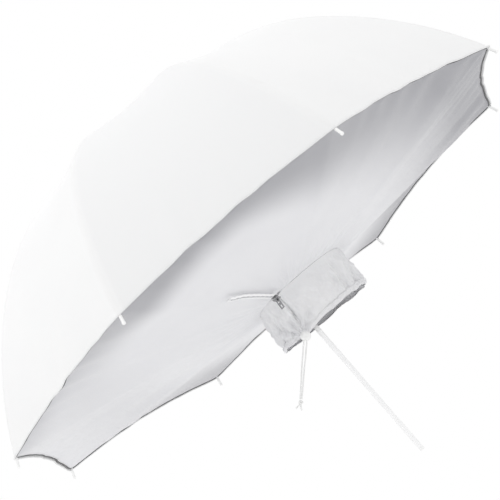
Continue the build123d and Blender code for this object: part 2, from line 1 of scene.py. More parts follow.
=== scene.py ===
"""The looks of the closed-front umbrella reflector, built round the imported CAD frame.

Shapes are worked out upright, in metres: the shaft on +Z, the crown at the top, the rim plane at
z = 0. lean() then takes a point to the row frame, where the umbrella stands at its working lean.
"""
import math

import bmesh
import bpy
import numpy as np
from mathutils import Matrix, Vector, noise


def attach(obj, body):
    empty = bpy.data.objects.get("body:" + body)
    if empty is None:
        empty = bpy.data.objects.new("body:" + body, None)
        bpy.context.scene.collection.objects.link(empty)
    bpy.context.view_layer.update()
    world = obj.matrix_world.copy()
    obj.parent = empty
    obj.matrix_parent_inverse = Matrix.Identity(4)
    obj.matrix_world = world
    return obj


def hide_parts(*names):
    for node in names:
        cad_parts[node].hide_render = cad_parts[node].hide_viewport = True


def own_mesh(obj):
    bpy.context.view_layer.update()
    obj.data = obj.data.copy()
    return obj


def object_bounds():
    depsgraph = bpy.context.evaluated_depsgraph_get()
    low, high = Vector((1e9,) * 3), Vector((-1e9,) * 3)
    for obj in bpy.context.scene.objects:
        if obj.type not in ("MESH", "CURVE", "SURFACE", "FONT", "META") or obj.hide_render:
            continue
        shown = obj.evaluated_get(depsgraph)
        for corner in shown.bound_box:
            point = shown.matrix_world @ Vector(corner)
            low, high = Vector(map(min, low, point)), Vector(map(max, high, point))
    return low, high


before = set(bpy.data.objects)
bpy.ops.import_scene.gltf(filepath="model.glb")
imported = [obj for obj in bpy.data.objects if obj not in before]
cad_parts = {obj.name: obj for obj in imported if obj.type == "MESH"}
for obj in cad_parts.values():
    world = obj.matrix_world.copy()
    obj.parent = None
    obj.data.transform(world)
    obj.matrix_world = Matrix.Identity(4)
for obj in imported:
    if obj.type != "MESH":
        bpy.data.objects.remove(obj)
CAD_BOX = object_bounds()

# ---------------------------------------------------------------- sizes, as in the CAD
LEAN = math.radians(45)
CLAMP = -0.250
RIBS = 8
FIRST_RIB = math.radians(22.5)
HALF_GORE = math.pi / RIBS
RIM_R = 0.420
CROWN_R = 0.011
SHOULDER_R = 0.286
FLANK_R = 0.572
RIB_START = math.radians(15.6)
SHOULDER_TURN = math.radians(57)
CLOTH_GAP = 0.0021
CANOPY_FROM_R = 0.0175
COVER_BULGE = 0.0408
SLEEVE_MID = 0.022
SLEEVE_HALF = 0.068
SLEEVE_BASE_HALF_DEPTH = 0.0605
SLEEVE_BASE_CORNER = 0.050
SLEEVE_MOUTH_HALF_DEPTH = 0.0095
SLEEVE_MOUTH_CORNER = 0.008
SLEEVE_MOUTH = -0.098
SLEEVE_SHIFT = -0.004
ZIP_FROM = Vector((-0.013, -0.075))
ZIP_AZIMUTH = math.radians(249)
ZIP_LENGTH = 0.122
LOCK_AT = (-0.0178, -0.0265, -0.102)
CORD_DIAMETER = 0.002

SHOULDER_END = RIB_START - SHOULDER_TURN
SHOULDER_END_R = CROWN_R + SHOULDER_R * (math.sin(RIB_START) - math.sin(SHOULDER_END))
RIM_HEADING = math.asin(math.sin(SHOULDER_END) - (RIM_R - SHOULDER_END_R) / FLANK_R)
SHOULDER_Z = FLANK_R * (math.cos(SHOULDER_END) - math.cos(RIM_HEADING))
CROWN_Z = SHOULDER_Z + SHOULDER_R * (math.cos(RIB_START) - math.cos(SHOULDER_END))
SHOULDER_LENGTH = SHOULDER_R * SHOULDER_TURN
RIB_LENGTH = SHOULDER_LENGTH + FLANK_R * (SHOULDER_END - RIM_HEADING)
CANOPY_FROM = SHOULDER_R * (RIB_START - math.asin(
    math.sin(RIB_START) - (CANOPY_FROM_R - CROWN_R) / SHOULDER_R))


def lean(points):
    """Upright points, as an array of rows, in the row frame."""
    p = np.asarray(points, float)
    z = p[..., 2] - CLAMP
    c, s = math.cos(LEAN), math.sin(LEAN)
    return np.stack([c * p[..., 0] - s * z, p[..., 1], s * p[..., 0] + c * z], -1)


def turn(vectors):
    """Upright directions in the row frame."""
    return lean(vectors) - lean(np.zeros(3))


RIM_CENTRE = lean(np.zeros(3))


def rib_azimuth(number):
    return FIRST_RIB + 2 * HALF_GORE * (number - 1)


def smooth(low, high, x):
    t = np.clip((x - low) / (high - low), 0, 1)
    return t * t * (3 - 2 * t)


# ---------------------------------------------------------------- camera and light
def make_camera():
    data = bpy.data.cameras.new("camera")
    data.lens = 141.17
    data.sensor_width = 36
    data.clip_end = 50
    camera = bpy.data.objects.new("camera", data)
    place = Vector((0.1497, -2.5463, -0.1747))
    target = Vector((-0.2016, -0.0074, 0.2032))
    roll = math.radians(4.552)
    camera.location = place
    camera.rotation_mode = "QUATERNION"
    look = (target - place).to_track_quat("-Z", "Y")
    camera.rotation_quaternion = look @ Matrix.Rotation(roll, 3, "Z").to_quaternion()
    bpy.context.scene.collection.objects.link(camera)
    bpy.context.scene.camera = camera


def make_light(name, place, target, size, power):
    data = bpy.data.lights.new(name, "AREA")
    data.shape = "DISK"
    data.size = size
    data.energy = power
    light = bpy.data.objects.new(name, data)
    light.location = place
    light.rotation_mode = "QUATERNION"
    light.rotation_quaternion = (Vector(target) - Vector(place)).to_track_quat("-Z", "Y")
    bpy.context.scene.collection.objects.link(light)


def make_world():
    world = bpy.data.worlds.new("studio")
    bpy.context.scene.world = world
    world.use_nodes = True
    nodes, links = world.node_tree.nodes, world.node_tree.links
    nodes.clear()
    out = nodes.new("ShaderNodeOutputWorld")
    seen = nodes.new("ShaderNodeBackground")
    seen.inputs["Color"].default_value = (1, 1, 1, 1)
    seen.inputs["Strength"].default_value = 1.0
    lit = nodes.new("ShaderNodeBackground")
    lit.inputs["Color"].default_value = (1, 1, 1, 1)
    lit.inputs["Strength"].default_value = 0.98
    path = nodes.new("ShaderNodeLightPath")
    mix = nodes.new("ShaderNodeMixShader")
    links.new(path.outputs["Is Camera Ray"], mix.inputs[0])
    links.new(lit.outputs[0], mix.inputs[1])
    links.new(seen.outputs[0], mix.inputs[2])
    links.new(mix.outputs[0], out.inputs["Surface"])


# ---------------------------------------------------------------- materials
WEAVE_PITCH = 0.0006
WEAVE_DEPTH = 0.00008


def new_material(name, colour, roughness, metallic=0.0):
    material = bpy.data.materials.new(name)
    material.use_nodes = True
    shader = material.node_tree.nodes["Principled BSDF"]
    shader.inputs["Base Color"].default_value = (*colour, 1)
    shader.inputs["Roughness"].default_value = roughness
    shader.inputs["Metallic"].default_value = metallic
    return material, material.node_tree.nodes, material.node_tree.links, shader


def add_math(nodes, links, operation, first, second):
    node = nodes.new("ShaderNodeMath")
    node.operation = operation
    for socket, value in zip(node.inputs, (first, second)):
        if isinstance(value, (int, float)):
            socket.default_value = value
        else:
            links.new(value, socket)
    return node.outputs[0]


def add_noise(nodes, links, coordinates, scale, detail=4.0, roughness=0.5):
    texture = nodes.new("ShaderNodeTexNoise")
    texture.inputs["Scale"].default_value = scale
    texture.inputs["Detail"].default_value = detail
    texture.inputs["Roughness"].default_value = roughness
    links.new(coordinates, texture.inputs["Vector"])
    return texture.outputs["Fac"]


def add_ramp(nodes, links, factor, stops):
    ramp = nodes.new("ShaderNodeValToRGB")
    elements = ramp.color_ramp.elements
    while len(elements) < len(stops):
        elements.new(0.5)
    for element, (position, colour) in zip(elements, stops):
        element.position = position
        element.color = (*colour, 1)
    links.new(factor, ramp.inputs["Fac"])
    return ramp.outputs["Color"]


def add_bump(nodes, links, shader, layers):
    """Bump layers, coarse to fine: (height, distance in metres, strength)."""
    previous = None
    for height, distance, strength in layers:
        bump = nodes.new("ShaderNodeBump")
        bump.inputs["Distance"].default_value = distance
        bump.inputs["Strength"].default_value = strength
        links.new(height, bump.inputs["Height"])
        if previous is not None:
            links.new(previous, bump.inputs["Normal"])
        previous = bump.outputs["Normal"]
    links.new(previous, shader.inputs["Normal"])


def weave(nodes, links, uv, pitch):
    """A plain weave's height from a UV map that is laid out in metres."""
    separate = nodes.new("ShaderNodeSeparateXYZ")
    links.new(uv, separate.inputs[0])
    waves = []
    for axis in ("X", "Y"):
        scaled = add_math(nodes, links, "MULTIPLY", separate.outputs[axis], 2 * math.pi / pitch)
        waves.append(add_math(nodes, links, "SINE", scaled, 0.0))
    return add_math(nodes, links, "MULTIPLY", waves[0], waves[1])


def cloth_material(name, colour, shade, roughness, sheen, wrinkle_depth, through=0.0, painted_shade_colour=None, gloss=0.3):
    """Woven cloth: mottled colour, a weave, soft wrinkles and uneven sheen.

    Light comes through a share of it, and where the "shade" attribute is 1 it takes a darker colour of
    painted shade.
    """
    material, nodes, links, shader = new_material(name, colour, roughness)
    shader.inputs["Sheen Weight"].default_value = sheen
    shader.inputs["Sheen Roughness"].default_value = 0.4
    shader.inputs["Specular IOR Level"].default_value = gloss
    coordinates = nodes.new("ShaderNodeTexCoord")
    soft = add_noise(nodes, links, coordinates.outputs["Object"], 9.0, 3.0)
    fine = add_noise(nodes, links, coordinates.outputs["Object"], 420.0, 2.0)
    mottle = add_math(nodes, links, "ADD", add_math(nodes, links, "MULTIPLY", soft, 0.75),
                      add_math(nodes, links, "MULTIPLY", fine, 0.25))
    tint = add_ramp(nodes, links, mottle, [(0.30, shade), (0.62, colour)])
    # painted shade: mix towards the darker colour by the "shade" attribute
    if painted_shade_colour:
        where = nodes.new("ShaderNodeAttribute")
        where.attribute_name = "shade"
        blend = nodes.new("ShaderNodeMix")
        blend.data_type = "RGBA"
        colours = [socket for socket in blend.inputs if socket.type == "RGBA"]
        links.new(where.outputs["Fac"], blend.inputs[0])
        links.new(tint, colours[0])
        colours[1].default_value = (*painted_shade_colour, 1)
        tint = next(socket for socket in blend.outputs if socket.type == "RGBA")
    links.new(tint, shader.inputs["Base Color"])
    if through:
        glow = nodes.new("ShaderNodeBsdfTranslucent")
        links.new(tint, glow.inputs["Color"])
        mix = nodes.new("ShaderNodeMixShader")
        mix.inputs[0].default_value = through
        links.new(shader.outputs[0], mix.inputs[1])
        links.new(glow.outputs[0], mix.inputs[2])
        links.new(mix.outputs[0], nodes["Material Output"].inputs["Surface"])
    rough = nodes.new("ShaderNodeMapRange")
    rough.inputs["To Min"].default_value = roughness - 0.08
    rough.inputs["To Max"].default_value = roughness + 0.10
    links.new(soft, rough.inputs["Value"])
    links.new(rough.outputs["Result"], shader.inputs["Roughness"])
    wrinkle = add_noise(nodes, links, coordinates.outputs["Object"], 26.0, 5.0, 0.55)
    threads = weave(nodes, links, coordinates.outputs["UV"], WEAVE_PITCH)
    add_bump(nodes, links, shader, [(wrinkle, wrinkle_depth, 0.5), (threads, WEAVE_DEPTH, 0.35)])
    return material


def plastic_material(name, colour, roughness):
    """Moulded plastic: fine grain, faint flow marks and handling wear."""
    material, nodes, links, shader = new_material(name, colour, roughness)
    coordinates = nodes.new("ShaderNodeTexCoord")
    flow = add_noise(nodes, links, coordinates.outputs["Object"], 60.0, 3.0)
    skin = add_noise(nodes, links, coordinates.outputs["Object"], 1800.0, 2.0)
    worn = tuple(0.975 * c for c in colour)
    links.new(add_ramp(nodes, links, flow, [(0.35, worn), (0.6, colour)]), shader.inputs["Base Color"])
    rough = nodes.new("ShaderNodeMapRange")
    rough.inputs["To Min"].default_value = roughness - 0.07
    rough.inputs["To Max"].default_value = roughness + 0.12
    links.new(flow, rough.inputs["Value"])
    links.new(rough.outputs["Result"], shader.inputs["Roughness"])
    add_bump(nodes, links, shader, [(skin, 0.00003, 0.5)])
    return material


def metal_material(name, colour, roughness, metallic=1.0):
    """Drawn or pressed metal: streaks, small scratches and dull patches."""
    material, nodes, links, shader = new_material(name, colour, roughness, metallic)
    coordinates = nodes.new("ShaderNodeTexCoord")
    stretch = nodes.new("ShaderNodeMapping")
    stretch.inputs["Rotation"].default_value = (0, LEAN, 0)
    stretch.inputs["Scale"].default_value = (500, 500, 18)
    links.new(coordinates.outputs["Object"], stretch.inputs["Vector"])
    streak = add_noise(nodes, links, stretch.outputs["Vector"], 1.0, 3.0)
    patch = add_noise(nodes, links, coordinates.outputs["Object"], 45.0, 4.0)
    dull = tuple((0.985 if metallic < 0.5 else 0.82) * c for c in colour)
    links.new(add_ramp(nodes, links, patch, [(0.35, dull), (0.6, colour)]), shader.inputs["Base Color"])
    rough = nodes.new("ShaderNodeMapRange")
    rough.inputs["To Min"].default_value = roughness - 0.06
    rough.inputs["To Max"].default_value = roughness + 0.14
    links.new(streak, rough.inputs["Value"])
    links.new(rough.outputs["Result"], shader.inputs["Roughness"])
    add_bump(nodes, links, shader, [(streak, 0.000004, 0.3)])
    return material


def make_materials():
    return {
        # the canopy's darker colour is painted shade, laid on gore by gore
        "canopy_fabric": cloth_material(
            "white_nylon", (0.905, 0.905, 0.905), (0.885, 0.886, 0.888), 0.62, 0.1, 0.0006,
            painted_shade_colour=(0.855, 0.857, 0.86), gloss=0.06),
        # the cover's darker colour is painted shade towards its rim and upper end
        "cover_fabric": cloth_material(
            "grey_white_satin", (0.84, 0.84, 0.86), (0.80, 0.80, 0.825), 0.42, 0.3, 0.0011,
            painted_shade_colour=(0.385, 0.385, 0.41)),
        "sleeve_fabric": cloth_material(
            "crumpled_satin", (0.965, 0.965, 0.975), (0.90, 0.90, 0.92), 0.38, 0.3, 0.0009, through=0.22),
        "seam": cloth_material(
            "seam_tape", (0.92, 0.92, 0.92), (0.895, 0.895, 0.895), 0.6, 0.1, 0.0003, gloss=0.06),
        # a binding round the cover, whose near-black colour also paints the shadow line where the cover meets
        # the canopy's hem
        "binding": cloth_material("binding_and_painted_shadow_line", (0.10, 0.10, 0.105), (0.06, 0.06, 0.063), 0.7, 0.3, 0.0002),
        "zip_tape": cloth_material("zip_lips", (0.97, 0.97, 0.975), (0.91, 0.91, 0.92), 0.5, 0.3, 0.0002),
        "cord": cloth_material("braided_cord", (0.93, 0.93, 0.925), (0.83, 0.83, 0.82), 0.7, 0.3, 0.0002),
        "white_plastic": plastic_material("white_plastic", (0.98, 0.98, 0.975), 0.42),
        "lock_plastic": plastic_material("lock_plastic", (0.93, 0.93, 0.92), 0.33),
        "black_plastic": plastic_material("black_plastic", (0.035, 0.035, 0.038), 0.45),
        "zip_teeth": plastic_material("zip_teeth", (0.62, 0.62, 0.64), 0.3),
        "shaft_metal": metal_material("white_enamelled_tube", (0.985, 0.985, 0.985), 0.30, 0.0),
        "rib_metal": metal_material("white_enamelled_rib", (0.93, 0.93, 0.935), 0.34, 0.0),
        "wire": metal_material("bright_wire", (0.62, 0.62, 0.64), 0.25),
        "zip_metal": metal_material("gunmetal", (0.42, 0.42, 0.43), 0.36),
        "floor": plastic_material("floor_paper", (0.95, 0.95, 0.95), 0.8),
    }


# ---------------------------------------------------------------- mesh helpers
def grid_mesh(name, points, normals=None, uv=None, closed=False):
    """A sheet from a rows-by-columns array of row-frame points; closed joins the last column to the first."""
    rows, columns = points.shape[:2]
    faces = []
    for i in range(rows - 1):
        for j in range(columns if closed else columns - 1):
            k = (j + 1) % columns
            faces.append((i * columns + j, i * columns + k, (i + 1) * columns + k, (i + 1) * columns + j))
    mesh = bpy.data.meshes.new(name)
    mesh.from_pydata(points.reshape(-1, 3).tolist(), [], faces)
    mesh.update()
    if uv is not None:
        layer = mesh.uv_layers.new(name="UVMap")
        flat = uv.reshape(-1, 2)
        loops = np.empty(len(mesh.loops), int)
        mesh.loops.foreach_get("vertex_index", loops)
        layer.data.foreach_set("uv", flat[loops].ravel().astype(np.float32))
    mesh.shade_smooth()
    if normals is not None:
        mesh.normals_split_custom_set_from_vertices(normals.reshape(-1, 3).tolist())
    return mesh


def piece(name, mesh, material, body):
    obj = bpy.data.objects.new(name, mesh)
    bpy.context.scene.collection.objects.link(obj)
    mesh.materials.append(material)
    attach(obj, body)
    return obj


def surface_normals(surface, rows, columns, step=1e-4):
    """Unit normals of surface(row value, column value) by small differences."""
    along = surface(rows + step, columns) - surface(rows - step, columns)
    across = surface(rows, columns + step) - surface(rows, columns - step)
    n = np.cross(across, along)
    return n / np.maximum(np.linalg.norm(n, axis=-1, keepdims=True), 1e-12)


# ---------------------------------------------------------------- canopy
CANOPY_SAG = 0.0055
SCALLOP = 0.0095
RIDGE_ROUNDING = 0.03
STITCH = 0.002
STITCH_PITCH = 0.003
STITCH_FROM_RIB = 0.0022
THREAD = 0.00022
THREAD_SUNK = 0.00003
CANOPY_COLUMNS = 33
STRIP_ROWS = 9
HEM_ROLL = 0.0012
HEM_TURNS = (0.8, 1.9, 3.0)
DOWN = np.array([0, 0, -1.0])
# painted shade of each gore, from rib 1 on, set to match the photograph
GORE_PAINTED_SHADES = (0.3, 0.1, 0.35, 0.15, 0.0, 1.0, 0.25, 0.4)
# strips of canopy from the crown to the hem, on each rib
ZONES = 13
# share of its width that the canopy keeps when closed, by its open distance from the shaft
CLOSED_RADII = (0.02, 0.10, 0.20, 0.30, 0.36, 0.42)
CLOSED_KEEPS = (0.98, 0.80, 0.63, 0.40, 0.25, 0.13)


def rib_profile(s):
    """Distance from the shaft axis, height and heading at a length along the rib."""
    s = np.asarray(s, float)
    first = s <= SHOULDER_LENGTH
    heading = np.where(first, RIB_START - s / SHOULDER_R, SHOULDER_END - (s - SHOULDER_LENGTH) / FLANK_R)
    near_r = CROWN_R + SHOULDER_R * (math.sin(RIB_START) - np.sin(heading))
    near_z = CROWN_Z + SHOULDER_R * (np.cos(heading) - math.cos(RIB_START))
    far_r = SHOULDER_END_R + FLANK_R * (math.sin(SHOULDER_END) - np.sin(heading))
    far_z = SHOULDER_Z + FLANK_R * (np.cos(heading) - math.cos(SHOULDER_END))
    return np.where(first, near_r, far_r), np.where(first, near_z, far_z), heading


def gore_share(azimuth):
    """0 on a rib to 1 midway between two ribs, rounded over the rib."""
    offset = (azimuth - FIRST_RIB + HALF_GORE) % (2 * HALF_GORE) - HALF_GORE
    share = np.abs(offset) / HALF_GORE
    rounded = np.sqrt(share ** 2 + RIDGE_ROUNDING ** 2) - RIDGE_ROUNDING
    return rounded / (math.sqrt(1 + RIDGE_ROUNDING ** 2) - RIDGE_ROUNDING)


def wrinkles(azimuth, s):
    """Small pulls that run up from the hem and down from the crown."""
    near_hem = smooth(0.70, 1.0, s / RIB_LENGTH)
    near_crown = 1 - smooth(0.0, 0.22, s / RIB_LENGTH)
    waves = (0.5 * np.sin(37 * azimuth + 2.0 * np.sin(3 * azimuth)) + 0.3 * np.sin(61 * azimuth + 11 * s)
             + 0.35 * np.sin(23 * azimuth - 17 * s))
    return 0.0021 * near_hem * waves + 0.0006 * near_crown * waves


def canopy_surface(s, azimuth, lift=0.0):
    """Upright points of the canopy at lengths along the rib and azimuths."""
    s, azimuth = np.broadcast_arrays(np.asarray(s, float), np.asarray(azimuth, float))
    share = gore_share(azimuth)
    belly = np.sin(0.5 * math.pi * share)
    s = s - SCALLOP * share * (2 - share) * np.clip(s / RIB_LENGTH, 0, 1.1) ** 7
    r, z, heading = rib_profile(s)
    sag = CANOPY_SAG * belly * (0.35 + 0.65 * np.sin(math.pi * np.clip(s / RIB_LENGTH, 0, 1)))
    out = CLOTH_GAP + lift - sag + wrinkles(azimuth, s) * belly
    r = r - out * np.sin(heading)
    z = z + out * np.cos(heading)
    flat = math.cos(HALF_GORE) / np.cos(HALF_GORE * (1 - np.minimum(share, 1)))
    r = r * flat
    return np.stack([r * np.cos(azimuth), r * np.sin(azimuth), z], -1)


def gore_painted_shade(azimuth):
    """Painted shade by gore: 0 for the cloth's own colour to 1 for its darker, shaded one."""
    gore = np.floor((azimuth - FIRST_RIB) / (2 * HALF_GORE)).astype(int) % RIBS
    return np.array(GORE_PAINTED_SHADES)[gore]


# painted shade values, one for each point, in the "shade" attribute
def add_painted_shade(mesh, values):
    layer = mesh.attributes.new("shade", "FLOAT", "POINT")
    layer.data.foreach_set("value", values.ravel().astype(np.float32))


def squash_to_rib(obj):
    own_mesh(obj)


def canopy_piece(name, number, rows, materials, hem):
    """Part of the canopy on one rib, with the whole sheet's normals at its edges."""
    azimuths = rib_azimuth(number) + np.linspace(-1, 1, CANOPY_COLUMNS) * HALF_GORE
    s, a = np.meshgrid(rows, azimuths, indexing="ij")
    upright = canopy_surface(s, a)
    normals = surface_normals(canopy_surface, s, a)
    if hem:
        # the hem turns in by a small roll
        edge, outward = upright[-1], normals[-1]
        for index, angle in enumerate(HEM_TURNS, 1):
            ring = edge - outward * HEM_ROLL * (1 - math.cos(angle)) + DOWN * HEM_ROLL * math.sin(angle)
            bent = outward * math.cos(angle) + DOWN * math.sin(angle)
            bent /= np.linalg.norm(bent, axis=-1, keepdims=True)
            upright = np.concatenate([upright, ring[None]])
            normals = np.concatenate([normals, bent[None]])
            s = np.concatenate([s, s[len(rows) - 1][None] + 0.001 * index])
            a = np.concatenate([a, a[-1:]])
    uv = np.stack([s, (a - rib_azimuth(number)) * 0.2], -1)
    mesh = grid_mesh(name, lean(upright), turn(normals), uv)
    # painted shade, gore by gore
    add_painted_shade(mesh, gore_painted_shade(a))
    obj = piece(name, mesh, materials["canopy_fabric"], f"rib_group_{number}")
    squash_to_rib(obj)
    return obj, upright


def zone_keeps(edges):
    middles = rib_profile((edges[:-1] + edges[1:]) / 2)[0]
    return [float(keep) for keep in np.interp(middles, CLOSED_RADII, CLOSED_KEEPS)]


def make_canopy(materials):
    edges = np.linspace(CANOPY_FROM, RIB_LENGTH, ZONES + 1)
    keeps = zone_keeps(edges)
    for number in range(1, RIBS + 1):
        for zone, keep in enumerate(keeps):
            rows = np.linspace(edges[zone], edges[zone + 1], STRIP_ROWS)
            obj, upright = canopy_piece(f"canopy_{number}_{zone + 1}", number, rows, materials,
                                        hem=zone == ZONES - 1)
            if zone == 0:
                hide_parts(f"canopy_panel_{number}")
            make_stitches(number, zone, edges, materials)


def make_stitches(number, zone, edges, materials):
    """Two rows of raised stitches beside the rib."""
    starts = np.arange(edges[zone], edges[zone + 1] - STITCH, STITCH_PITCH)
    corners, faces = [], []
    for start in starts:
        radius = max(float(rib_profile(start)[0]), 0.02)
        centre = start + STITCH / 2
        for side in (-1, 1):
            middle = rib_azimuth(number) + side * STITCH_FROM_RIB / radius
            half = THREAD / radius
            ring = canopy_surface(np.array([start, centre, start + STITCH, centre]),
                                  middle + np.array([0, half, 0, -half]), THREAD_SUNK)
            top = canopy_surface(np.array([centre]), np.array([middle]), THREAD)
            first = len(corners)
            corners.extend([*ring, *top])
            faces.extend((first + i, first + (i + 1) % 4, first + 4) for i in range(4))
    mesh = bpy.data.meshes.new(f"stitches_{number}_{zone + 1}")
    mesh.from_pydata(lean(np.array(corners)).tolist(), [], faces)
    mesh.shade_smooth()
    obj = piece(f"stitches_{number}_{zone + 1}", mesh, materials["seam"],
                f"rib_group_{number}")
    squash_to_rib(obj)


# ---------------------------------------------------------------- front cover and its binding
WEDGES = 16
HEM_INSET = 0.0030
BINDING_R = 0.0006


def hem_line(azimuth):
    return canopy_surface(np.full(np.shape(azimuth), RIB_LENGTH), azimuth)


def cover_edge(azimuth):
    """The cover's outer edge: just inside the canopy's hem."""
    edge = hem_line(azimuth)
    radius = np.linalg.norm(edge[..., :2], axis=-1)
    scale = (radius - HEM_INSET) / radius
    return np.concatenate([edge[..., :2] * scale[..., None], edge[..., 2:] + 0.0012], -1)


def sleeve_outline(angle, t):
    """Upright outline of the sleeve, t from 0 at the cover to 1 at the mouth."""
    half_y = SLEEVE_BASE_HALF_DEPTH + (SLEEVE_MOUTH_HALF_DEPTH - SLEEVE_BASE_HALF_DEPTH) * t ** 0.9
    corner = SLEEVE_BASE_CORNER + (SLEEVE_MOUTH_CORNER - SLEEVE_BASE_CORNER) * t
    power = 2 + 3.2 * (1 - corner / np.minimum(SLEEVE_HALF, half_y))
    # the angle is an ellipse's, so that the flat mouth keeps even spacing
    x = SLEEVE_HALF * np.sign(np.cos(angle)) * np.abs(np.cos(angle)) ** (2 / power)
    y = half_y * np.sign(np.sin(angle)) * np.abs(np.sin(angle)) ** (2 / power)
    z = -COVER_BULGE + (SLEEVE_MOUTH + COVER_BULGE) * t
    return np.stack([x + SLEEVE_MID + SLEEVE_SHIFT * t, y, z], -1)


def base_outline(azimuth):
    """Where a ray from the shaft axis meets the sleeve's base."""
    angles = np.linspace(0, 2 * math.pi, 1441)
    ring = sleeve_outline(angles, np.zeros_like(angles))
    seen = np.unwrap(np.arctan2(ring[:, 1], ring[:, 0]))
    wanted = (np.asarray(azimuth) - seen[0]) % (2 * math.pi) + seen[0]
    return np.stack([np.interp(wanted, seen, ring[:, i]) for i in range(3)], -1)


def zip_frame(points):
    """Distance along the zip and from its line, for upright points."""
    d = np.array([math.cos(ZIP_AZIMUTH), math.sin(ZIP_AZIMUTH)])
    p = points[..., :2] - np.array(ZIP_FROM)
    return p @ d, p @ np.array([-d[1], d[0]])


def cover_surface(t, azimuth):
    """Upright points of the cover: t from 0 at the sleeve to 1 at the rim."""
    t, azimuth = np.broadcast_arrays(np.asarray(t, float), np.asarray(azimuth, float))
    inner = base_outline(azimuth)
    outer = cover_edge(azimuth)
    p = inner + (outer - inner) * t[..., None]
    share = gore_share(azimuth)
    belly = np.sin(0.5 * math.pi * share)
    slack = np.sin(math.pi * t)
    long_folds = (0.5 * np.sin(9 * azimuth + 1.3) + 0.5 * np.sin(13 * azimuth + 4 * t)
                  + 0.3 * np.sin(21 * azimuth - 5 * t))
    gathers = (1 - smooth(0.0, 0.30, t)) * smooth(0.0, 0.05, t)
    rim_pulls = smooth(0.72, 1.0, t) * (1 - smooth(0.97, 1.0, t))
    lift = 0.0022 * slack * long_folds + 0.0009 * gathers * np.sin(46 * azimuth + 2 * np.sin(5 * azimuth))
    lift = lift + 0.0012 * rim_pulls * np.sin(52 * azimuth + 9 * t) * belly
    pull = smooth(0.35, 1.0, t) * (1 - smooth(0.96, 1.0, t))
    for corner in (1, 8):
        away = np.abs((azimuth - rib_azimuth(corner) + math.pi) % (2 * math.pi) - math.pi)
        lift = lift + 0.0021 * pull * np.exp(-(away / 0.25) ** 2) * np.sin(38 * away - 6 * t)
    along, side = zip_frame(p)
    on_zip = smooth(-0.006, 0.004, along) * (1 - smooth(ZIP_LENGTH - 0.012, ZIP_LENGTH + 0.012, along))
    lift = lift - 0.0026 * on_zip * np.exp(-(side / 0.013) ** 2)
    p = p.copy()
    p[..., 2] += lift
    return p


def cover_painted_shade(p):
    """Painted shade: darker where the satin turns towards the ribs at the sides and at the upper end."""
    x, y = p[..., 0], p[..., 1]
    radius = np.hypot(x, y)
    start = 0.155 + 0.145 * smooth(0.0, 0.28, -y) * (1 - smooth(-0.05, 0.24, x))
    # painted shade over the outer cover, along the near hem and at the upper end
    body = smooth(start, 0.38, radius) * smooth(-0.40, -0.06, x)
    hem = 0.6 * smooth(0.35, 0.415, radius) * smooth(0.05, 0.25, -y)
    end = 0.25 * smooth(0.28, 0.40, x)
    return np.clip(body + hem * (1 - body) + end, 0, 1.2)


def make_cover(materials):
    """Narrow wedges of the cover, round the shaft."""
    for index in range(WEDGES):
        middle = FIRST_RIB + 2 * math.pi * (index + 0.5) / WEDGES
        azimuths = middle + np.linspace(-1, 1, 25) * math.pi / WEDGES
        # closer rows near the rim
        rows = 1 - (1 - np.linspace(0, 1, 64)) ** 1.15
        t, a = np.meshgrid(rows, azimuths, indexing="ij")
        upright = cover_surface(t, a)
        normals = -surface_normals(cover_surface, t, a)
        uv = np.stack([t * 0.36, (a - middle) * 0.3], -1)
        mesh = grid_mesh(f"cover_{index + 1}", lean(upright), uv=uv)
        mesh.flip_normals()
        mesh.normals_split_custom_set_from_vertices(turn(normals).reshape(-1, 3).tolist())
        # painted shade of the cover
        add_painted_shade(mesh, cover_painted_shade(upright))
        obj = piece(f"cover_{index + 1}", mesh, materials["cover_fabric"], "shaft_group")
        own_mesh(obj)
        if index == 0:
            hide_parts("cover")


def tube_along(line, radius, sides=8):
    """Rings of points round a line of upright points."""
    line = np.asarray(line, float)
    ahead = np.gradient(line, axis=0)
    ahead /= np.linalg.norm(ahead, axis=1, keepdims=True)
    side = np.cross(ahead, -DOWN)
    side /= np.linalg.norm(side, axis=1, keepdims=True)
    over = np.cross(side, ahead)
    angles = np.linspace(0, 2 * math.pi, sides, endpoint=False)
    return (line[:, None] + radius * np.cos(angles)[None, :, None] * side[:, None]
            + radius * np.sin(angles)[None, :, None] * over[:, None])


def make_binding(materials):
    for number in range(1, RIBS + 1):
        azimuths = rib_azimuth(number) + np.linspace(-1, 1, 49) * HALF_GORE
        # the binding's dark colour also paints the shadow line at the cover's edge
        line = cover_edge(azimuths) + DOWN * BINDING_R
        rings = tube_along(line, BINDING_R)
        mesh = grid_mesh(f"binding_{number}", lean(rings), closed=True)
        obj = piece(f"binding_{number}", mesh, materials["binding"], f"rib_group_{number}")
        squash_to_rib(obj)
        if number == 1:
            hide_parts("cover_binding")


# ---------------------------------------------------------------- sleeve
CLOTH_THICKNESS = 0.0006
CRUMPLE_SEED = 3.7
# scale and size of each layer of crumples
CRUMPLE_LAYERS = ((1.3, 1.0), (2.9, 0.6), (6.0, 0.20), (12.0, 0.07))


def crumple(angle, t):
    """Broad facets with sharp folds between them, and smaller creases on top."""
    total = 0.0
    for scale, size in CRUMPLE_LAYERS:
        where = Vector((math.cos(angle) * scale * 1.4, math.sin(angle) * scale * 1.4,
                        t * scale * 0.9 + CRUMPLE_SEED))
        total += size * (1 - 2.4 * abs(noise.noise(where)))
    return total


